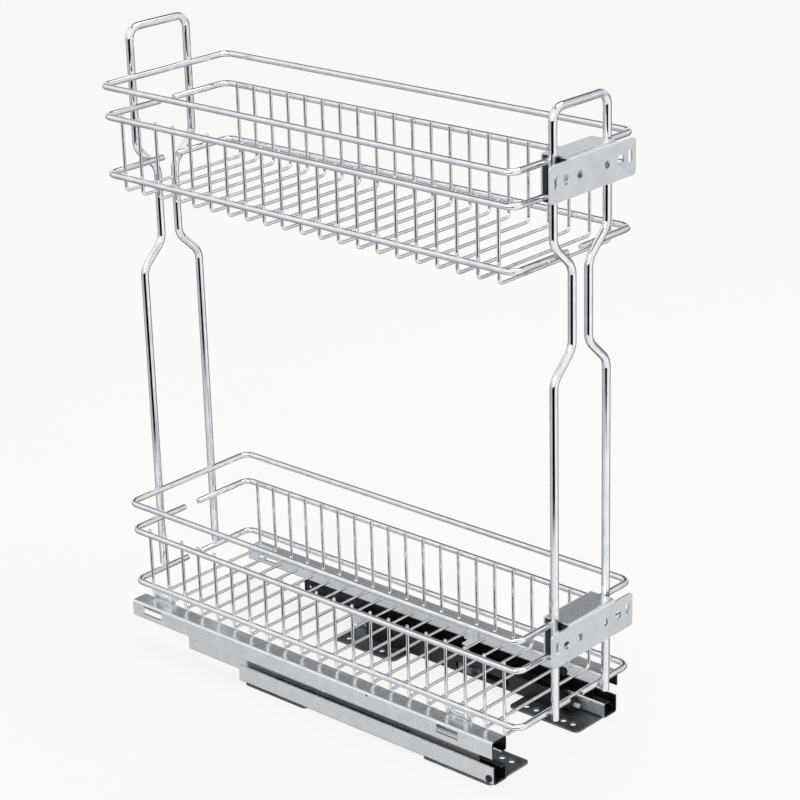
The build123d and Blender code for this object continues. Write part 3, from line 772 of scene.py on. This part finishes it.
@dataclass
class BasketTier:
    """One wire basket: a closed top ring, split rails and U-shaped cross wires.

    Attributes:
        level: "upper" or "lower", as the nodes write it.
        lift: Height of this tier above the lower one.
    """

    level: str
    lift: float
    centre_y: float = 4.85
    half_length: float = 230.0
    ring_radius: float = 2.75
    cross_radius: float = 1.4
    corner_bend: float = 9.0
    top_half_width: float = 75.8
    rail_half_width: float = 74.6
    rail_gap: float = 17.0
    bottom_z: float = 57.3
    mid_z: float = 109.3
    top_z: float = 136.6
    floor_z: float = 43.95
    tip_z: float = 112.5
    cross_half_width: float = 70.4
    cross_bend: float = 4.0
    cross_count: int = 21
    cross_pitch: float = 21.2
    cross_first: float = -207.15
    bead_size: Point = (0.75, 1.35, 1.5)

    def cross_rows(self) -> list[float]:
        """Y of every cross wire, from the door to the rear."""
        return [self.cross_first + i * self.cross_pitch for i in range(self.cross_count)]

    def build_top_ring(self, finishes: FinishSet) -> None:
        """Bend the closed top ring."""
        near, far = self.centre_y - self.half_length, self.centre_y + self.half_length
        side, z = self.top_half_width, self.top_z + self.lift
        draft = Draft()
        corners = ((-side, near, z), (side, near, z), (side, far, z), (-side, far, z))
        Wire(corners, self.ring_radius, (self.corner_bend,), (0, 0, 1), closed=True, sides=28).draw(draft)
        ring = draft.piece(f"{self.level}_top_ring_wire", finishes.of(finishes.chrome))
        place(ring, Body.CARRIAGE, finishes.chrome.slot, f"{self.level}_top_ring")

    def build_rails(self, finishes: FinishSet) -> None:
        """Bend the split mid and bottom rails, left and right."""
        near, far = self.centre_y - self.half_length, self.centre_y + self.half_length
        for rail, height in (("mid", self.mid_z), ("bottom", self.bottom_z)):
            for side in Side:
                x, gap = side.value * self.rail_half_width, side.value * self.rail_gap / 2
                z = height + self.lift
                corners = ((gap, far, z), (x, far, z), (x, near, z), (gap, near, z))
                draft = Draft()
                Wire(corners, self.ring_radius, (self.corner_bend,), (0, 0, 1), sides=28).draw(draft)
                node = f"{self.level}_{rail}_rail_{side.word}"
                made = draft.piece(f"{node}_wire", finishes.of(finishes.chrome))
                place(made, Body.CARRIAGE, finishes.chrome.slot, node)

    def build_cross_wires(self, finishes: FinishSet) -> None:
        """Bend the U-shaped cross wires that form the basket's sides and floor."""
        draft = Draft()
        x, low, high = self.cross_half_width, self.floor_z + self.lift, self.tip_z + self.lift
        for y in self.cross_rows():
            corners = ((-x, y, high), (-x, y, low), (x, y, low), (x, y, high))
            Wire(corners, self.cross_radius, (self.cross_bend,), (0, 1, 0), sides=16, crown=0.4).draw(draft)
        made = draft.piece(f"{self.level}_cross_wire_set", finishes.of(finishes.chrome))
        place(made, Body.CARRIAGE, finishes.chrome.slot, f"{self.level}_cross_wires")

    def build_welds(self, finishes: FinishSet) -> None:
        """Squeeze a weld bead wherever a cross wire meets a rail."""
        draft = Draft()
        touch = self.cross_half_width + self.cross_radius
        for y in self.cross_rows():
            for z in (self.mid_z + self.lift, self.bottom_z + self.lift):
                for side in (-1, 1):
                    weld_bead(draft, (side * touch, y, z), self.bead_size)
        made = draft.piece(f"{self.level}_weld_beads", finishes.of(finishes.chrome), sharp=80.0)
        place(made, Body.CARRIAGE, finishes.chrome.slot)

    def build(self, finishes: FinishSet) -> None:
        """Build the whole tier."""
        self.build_top_ring(finishes)
        self.build_rails(finishes)
        self.build_cross_wires(finishes)
        self.build_welds(finishes)


@dataclass
class CarryingFrame:
    """The two waisted uprights, and the door brackets that hook over the top rings."""

    wire_radius: float = 3.5
    leg: float = 34.0
    neck: float = 10.5
    top_z: float = 572.8
    waist_top: float = 463.6
    waist_lean: float = 22.0
    waist_bottom: float = 373.2
    waist_bend: float = 16.0
    top_bend: float = 11.0
    front_y: float = -231.45
    rear_y: float = 241.15
    front_end: float = 51.3
    rear_end: float = 58.0
    bar_heights: tuple[float, ...] = (57.3, 109.3, 136.6, 451.1, 503.1, 530.4)
    bead_size: Point = (2.2, 0.8, 1.7)

    def upright(self, y: float, end: float) -> Wire:
        """Centreline of one upright, from the left foot over the top to the right foot."""
        leg, neck, low = self.leg, self.neck, self.waist_bottom - self.waist_lean
        left: list[Point] = [
            (-leg, y, end),
            (-leg, y, low),
            (-neck, y, self.waist_bottom),
            (-neck, y, self.waist_top - self.waist_lean),
            (-leg, y, self.waist_top),
            (-leg, y, self.top_z),
        ]
        right = [(-x, yy, z) for x, yy, z in reversed(left)]
        waist, top = self.waist_bend, self.top_bend
        bends = (waist, waist, waist, waist, top, top, waist, waist, waist, waist)
        return Wire(tuple(left + right), self.wire_radius, bends, (0, 1, 0), sides=32, crown=0.7)

    def build_uprights(self, finishes: FinishSet) -> None:
        """Bend both uprights."""
        for name, y, end in (("front", self.front_y, self.front_end), ("rear", self.rear_y, self.rear_end)):
            draft = Draft()
            self.upright(y, end).draw(draft)
            made = draft.piece(f"{name}_upright_wire", finishes.of(finishes.chrome))
            place(made, Body.CARRIAGE, finishes.chrome.slot, f"{name}_upright")

    def build_welds(self, finishes: FinishSet) -> None:
        """Weld the legs to every ring and rail that they cross."""
        draft = Draft()
        for y, inward in ((self.front_y, 1), (self.rear_y, -1)):
            touch = y + inward * self.wire_radius
            for z in self.bar_heights:
                for side in (-1, 1):
                    weld_bead(draft, (side * self.leg, touch, z), self.bead_size)
        made = draft.piece("upright_weld_beads", finishes.of(finishes.chrome), sharp=80.0)
        place(made, Body.CARRIAGE, finishes.chrome.slot)

    def build_brackets(self, frame: dict[str, Any], finishes: FinishSet) -> None:
        """Dress the folded door brackets and the black liners inside them."""
        for level in ("upper", "lower"):
            crisp_sheet(frame, f"{level}_door_bracket", Body.CARRIAGE, finishes.zinc, finishes, 0.22)
            crisp_sheet(frame, f"{level}_bracket_liner", Body.CARRIAGE, finishes.nylon, finishes, 0.3)

    def build(self, frame: dict[str, Any], finishes: FinishSet) -> None:
        """Build the whole carrying frame."""
        self.build_uprights(finishes)
        self.build_welds(finishes)
        self.build_brackets(frame, finishes)


@dataclass
class BallSlide:
    """One three-member ball slide with its feet, rivets, ball cages and balls.

    Attributes:
        side: Side of the basket that the slide is on.
        sheet_edge: Width of the broken edges of the three members.
        drawer_channel: Inside of the drawer member, painted in shade: least and greatest distance
            from the centre plane, then least and greatest height.
        cabinet_channel: The same for the cabinet member.
        middle_channel: The same for the middle member.
    """

    side: Side
    sheet_edge: float = 0.18
    drawer_channel: tuple[float, float, float, float] = (68.2, 84.2, 30.2, 41.3)
    cabinet_channel: tuple[float, float, float, float] = (67.7, 82.8, 2.7, 18.0)
    middle_channel: tuple[float, float, float, float] = (60.0, 77.2, 9.3, 35.2)

    def build(self, frame: dict[str, Any], finishes: FinishSet) -> None:
        """Dress every piece of the slide."""
        word = self.side.word
        middle = Body.LEFT_MIDDLE if self.side is Side.LEFT else Body.RIGHT_MIDDLE
        lower = Body.LEFT_LOWER if self.side is Side.LEFT else Body.RIGHT_LOWER
        upper = Body.LEFT_UPPER if self.side is Side.LEFT else Body.RIGHT_UPPER
        for member, body, channel in (
            ("drawer", Body.CARRIAGE, self.drawer_channel),
            ("cabinet", Body.CABINET, self.cabinet_channel),
            ("middle", middle, self.middle_channel),
        ):
            node = f"{word}_{member}_member"
            crisp_sheet(frame, node, body, finishes.zinc, finishes, self.sheet_edge, channel)
        crisp_sheet(frame, f"{word}_middle_rivets", middle, finishes.zinc, finishes, 0.1)
        for place_of_foot in ("front", "rear"):
            node = f"{word}_{place_of_foot}_foot"
            crisp_sheet(frame, node, Body.CABINET, finishes.dull_zinc, finishes, 0.22)
        crisp_sheet(frame, f"{word}_lower_cage", lower, finishes.dull_zinc, finishes, 0.06)
        crisp_sheet(frame, f"{word}_upper_cage", upper, finishes.dull_zinc, finishes, 0.06)
        dress(frame, f"{word}_lower_balls", finishes.steel, finishes)
        dress(frame, f"{word}_upper_balls", finishes.steel, finishes)


@dataclass
class SmallParts:
    """Hooks, rivets, stops and plugs: one node each for both slides."""

    def build(self, frame: dict[str, Any], finishes: FinishSet) -> None:
        """Dress the shared small parts."""
        crisp_sheet(frame, "wire_hooks", Body.CARRIAGE, finishes.zinc, finishes, 0.12)
        crisp_sheet(frame, "hook_rivets", Body.CARRIAGE, finishes.zinc, finishes, 0.08)
        crisp_sheet(frame, "foot_rivets", Body.CABINET, finishes.zinc, finishes, 0.15)
        crisp_sheet(frame, "front_stops", Body.CABINET, finishes.rubber, finishes, 0.1)
        crisp_sheet(frame, "wall_plugs", Body.CARRIAGE, finishes.rubber, finishes, 0.1)


@dataclass
class SoftCloseUnit:
    """Housing, cylinder, rod and catch beside the right slide, and its striker."""

    def build(self, frame: dict[str, Any], finishes: FinishSet) -> None:
        """Dress the soft-close unit."""
        crisp_sheet(frame, "damper_housing", Body.CABINET, finishes.nylon, finishes, 0.4)
        crisp_sheet(frame, "damper_tip", Body.CABINET, finishes.pale, finishes, 0.15)
        crisp_sheet(frame, "damper_cylinder", Body.CABINET, finishes.steel, finishes, 0.15)
        crisp_sheet(frame, "damper_rod", Body.SOFT_CLOSE, finishes.steel, finishes, 0.1)
        crisp_sheet(frame, "soft_close_catch", Body.SOFT_CLOSE, finishes.acetal, finishes, 0.4)
        crisp_sheet(frame, "striker", Body.CARRIAGE, finishes.zinc, finishes, 0.12)


# ------------------------------------------------------------------ studio


@dataclass(frozen=True)
class SoftBox:
    """A large soft square lamp.

    Attributes:
        name: Name of the lamp.
        at: Its place in millimetres.
        size: Side of the square in millimetres.
        watts: Its power.
    """

    name: str
    at: Point
    size: float
    watts: float


@dataclass
class Studio:
    """Pale floor, soft light, the painted walls that metal mirrors, and the camera.

    Metal mirrors five bands, one above the other: the floor, a sweep with a dark flag, a plain
    horizon, the ceiling and a plain zenith. The floor, sweep and ceiling change round the room.

    Attributes:
        camera_at: Place of the camera in millimetres.
        azimuth: Degrees from the door side towards the right that the camera stands at.
        elevation: Degrees above level that it looks down from.
        roll: Degrees that it is turned about its line of sight.
        lens: Focal length in millimetres.
        sensor: Width of the camera's sensor in millimetres.
        floor_colour: Colour of the floor.
        floor_patch: Slightly darker colour of its patches.
        far_colour: What the camera sees beyond the floor.
        floor_glow: Share of the floor that shines by itself for the camera.
        room_light: Strength of the plain light that falls on dull surfaces.
        wall_light: Strength of what metal mirrors.
        sweep_bands: Colours round the room, by degrees from the door side towards the right.
        floor_bands: The same for the floor.
        ceiling_bands: The same for the ceiling.
        horizon_colour: Colour between the sweep and the ceiling.
        zenith_colour: Colour above the ceiling.
        band_edges: Degrees above level over which each band gives way to the next one up.
        floor_reach: Half the width of the floor in millimetres.
        softboxes: The lamps.
        lamp_target: Where the lamps point.
    """

    camera_at: Point = (-1480.2, -1384.0, 1054.4)
    azimuth: float = -47.68
    elevation: float = 21.16
    roll: float = -1.61
    lens: float = 112.82
    sensor: float = 36.0
    floor_colour: str = "#FEFEFE"
    floor_patch: str = "#FBFBFB"
    far_colour: str = "#FBFBFB"
    floor_glow: float = 0.8
    room_light: float = 0.62
    wall_light: float = 1.05
    sweep_bands: Stops = (
        (-180.0, "#808285"),
        (-165.0, "#A9ABAE"),
        (-145.0, "#C4C6C9"),
        (-120.0, "#C8CACD"),
        (-96.0, "#AEB0B3"),
        (-91.0, "#08090A"),
        (-31.0, "#08090A"),
        (-26.0, "#FAFAFA"),
        (34.0, "#FFFFFF"),
        (46.0, "#DCDEE0"),
        (60.0, "#B8BABD"),
        (76.0, "#707275"),
        (95.0, "#6A6C70"),
        (180.0, "#808285"),
    )
    floor_bands: Stops = (
        (-180.0, "#808285"),
        (-150.0, "#A9ABAE"),
        (-135.0, "#C8CACD"),
        (-100.0, "#E6E7E9"),
        (-60.0, "#F6F6F6"),
        (34.0, "#FFFFFF"),
        (46.0, "#DCDEE0"),
        (60.0, "#B8BABD"),
        (76.0, "#808285"),
        (95.0, "#6A6C70"),
        (180.0, "#808285"),
    )
    ceiling_bands: Stops = (
        (-180.0, "#DDDEDF"),
        (-158.0, "#FFFFFF"),
        (40.0, "#FFFFFF"),
        (50.0, "#E0E1E2"),
        (80.0, "#CBCDCE"),
        (96.0, "#A0A2A4"),
        (110.0, "#44464A"),
        (138.0, "#3A3C40"),
        (152.0, "#6C6E71"),
        (166.0, "#BCBDC0"),
        (180.0, "#DDDEDF"),
    )
    horizon_colour: str = "#EEEFF0"
    zenith_colour: str = "#9C9EA1"
    band_edges: tuple[Span, ...] = ((-27.0, -24.5), (-2.0, 1.0), (17.0, 20.0), (58.0, 72.0))
    floor_reach: float = 9000.0
    softboxes: tuple[SoftBox, ...] = (
        SoftBox("key_softbox", (700.0, -300.0, 2600.0), 1700.0, 19.0),
        SoftBox("fill_softbox", (-2200.0, -900.0, 1500.0), 1800.0, 10.0),
    )
    lamp_target: Point = (0.0, 0.0, 200.0)

    def build_camera(self) -> None:
        """Stand the camera where the photograph was taken from."""
        a, e, r = (math.radians(v) for v in (self.azimuth, self.elevation, self.roll))
        back = Vector((math.sin(a) * math.cos(e), -math.cos(a) * math.cos(e), math.sin(e)))
        right = (-back).cross(Vector((0, 0, 1))).normalized()
        up = right.cross(-back)
        across = right * math.cos(r) + up * math.sin(r)
        upward = up * math.cos(r) - right * math.sin(r)
        data = bpy.data.cameras.new("photo_camera")
        data.lens, data.sensor_width = self.lens, self.sensor
        data.clip_start, data.clip_end = 0.05, 60.0
        camera = bpy.data.objects.new("photo_camera", data)
        bpy.context.scene.collection.objects.link(camera)
        turn = Matrix((across, upward, back)).transposed().to_4x4()
        camera.matrix_world = Matrix.Translation(Vector(self.camera_at) * MM) @ turn
        bpy.context.scene.camera = camera

    def build_floor(self) -> None:
        """Lay a pale floor that keeps the object's shadow and stays even far away.

        Metal doesn't mirror it: it mirrors the painted floor of the studio instead.
        """
        material, tree, shader, where = blank_material("pale_studio_floor")
        patches = noise(tree, where, 1.5, 2.0)
        tint = ramp(tree, patches, [(0.3, self.floor_patch), (0.7, self.floor_colour)])
        tree.links.new(tint, shader.inputs["Base Color"])
        shader.inputs["Roughness"].default_value = 0.9
        shader.inputs["Specular IOR Level"].default_value = 0.0
        ray = add_node(tree, "ShaderNodeLightPath").outputs
        seen = compute(tree, "MAXIMUM", ray["Is Camera Ray"], ray["Is Transmission Ray"])
        share = compute(tree, "MULTIPLY", seen, self.floor_glow)
        glow = add_node(tree, "ShaderNodeEmission", {"Color": to_linear(self.floor_colour), "Strength": 1.0})
        both = mix_shaders(tree, share, shader.outputs["BSDF"], glow.outputs["Emission"])
        output = next(node for node in tree.nodes if node.bl_idname == "ShaderNodeOutputMaterial")
        tree.links.new(both, output.inputs["Surface"])
        reach, draft = self.floor_reach, Draft()
        corners = [Vector((x * reach, y * reach, 0)) for x, y in ((-1, -1), (1, -1), (1, 1), (-1, 1))]
        draft.add(corners, [(0, 1, 2, 3)])
        floor = draft.piece("studio_floor", material)
        floor.visible_glossy = False

    def build_world(self) -> None:
        """Fill the room with soft white light and show metal a studio of pale and dark walls."""
        world = bpy.data.worlds.new("soft_white_room")
        world.use_nodes = True
        bpy.context.scene.world = world
        tree = world.node_tree
        tree.nodes.clear()
        ray = add_node(tree, "ShaderNodeLightPath").outputs
        seen = compute(tree, "MAXIMUM", ray["Is Camera Ray"], ray["Is Transmission Ray"])
        kind = "ShaderNodeBackground"
        room = add_node(tree, kind, {"Color": to_linear("#FFFFFF"), "Strength": self.room_light})
        far = add_node(tree, kind, {"Color": to_linear(self.far_colour), "Strength": 1.0})
        walls = add_node(tree, kind, {"Strength": self.wall_light}, {"Color": self.studio_walls(tree)})
        lit = mix_shaders(
            tree, ray["Is Glossy Ray"], room.outputs["Background"], walls.outputs["Background"]
        )
        shown = mix_shaders(tree, seen, lit, far.outputs["Background"])
        add_node(tree, "ShaderNodeOutputWorld", links={"Surface": shown})

    def studio_walls(self, tree: bpy.types.NodeTree) -> bpy.types.NodeSocket:
        """Paint the studio that metal mirrors, band above band.

        Args:
            tree: Node tree of the world.

        Returns:
            The colour of the studio in the direction of the ray.
        """
        where = add_node(tree, "ShaderNodeTexCoord")
        axes = add_node(tree, "ShaderNodeSeparateXYZ", links={"Vector": where.outputs["Generated"]}).outputs
        door = compute(tree, "MULTIPLY", axes["Y"], -1.0)
        turn = compute(tree, "ARCTAN2", axes["X"], door)
        round_room = stretch(tree, turn, (-math.pi, math.pi))
        rise = compute(tree, "ARCSINE", axes["Z"])
        painted = [
            ramp(tree, round_room, [((degrees + 180) / 360, colour) for degrees, colour in stops])
            for stops in (self.floor_bands, self.sweep_bands, self.ceiling_bands)
        ]
        plain = []
        for colour in (self.horizon_colour, self.zenith_colour):
            node = add_node(tree, "ShaderNodeRGB")
            node.outputs["Color"].default_value = to_linear(colour)
            plain.append(node.outputs["Color"])
        floor, sweep, ceiling = painted
        horizon, zenith = plain
        seen = floor
        for band, (low, high) in zip((sweep, horizon, ceiling, zenith), self.band_edges):
            over = add_node(tree, "ShaderNodeMix", {"data_type": "RGBA"})
            rising = stretch(tree, rise, (math.radians(low), math.radians(high)))
            for index, socket in ((0, rising), (6, seen), (7, band)):
                tree.links.new(socket, over.inputs[index])
            seen = over.outputs[2]
        return seen

    def hang(self, softbox: SoftBox) -> None:
        """Hang a lamp that looks at the basket."""
        data = bpy.data.lights.new(softbox.name, "AREA")
        data.shape, data.size, data.energy = "SQUARE", softbox.size * MM, softbox.watts
        lamp = bpy.data.objects.new(softbox.name, data)
        bpy.context.scene.collection.objects.link(lamp)
        lamp.location = Vector(softbox.at) * MM
        lamp.rotation_mode = "QUATERNION"
        line = Vector(self.lamp_target) - Vector(softbox.at)
        lamp.rotation_quaternion = line.to_track_quat("-Z", "Y")

    def build(self) -> None:
        """Build the whole studio."""
        self.build_camera()
        self.build_floor()
        self.build_world()
        for softbox in self.softboxes:
            self.hang(softbox)
        bpy.context.scene.view_settings.view_transform = "Standard"


def main() -> None:
    """Build the basket's looks in order and report each piece."""
    logging.basicConfig(level=logging.INFO, format="%(name)s: %(message)s")
    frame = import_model()
    finishes = FinishSet()
    Studio().build()
    BasketTier("lower", 0.0).build(finishes)
    BasketTier("upper", TIER_PITCH).build(finishes)
    CarryingFrame().build(frame, finishes)
    for side in Side:
        BallSlide(side).build(frame, finishes)
    SmallParts().build(frame, finishes)
    SoftCloseUnit().build(frame, finishes)


if __name__ == "__main__":
    main()
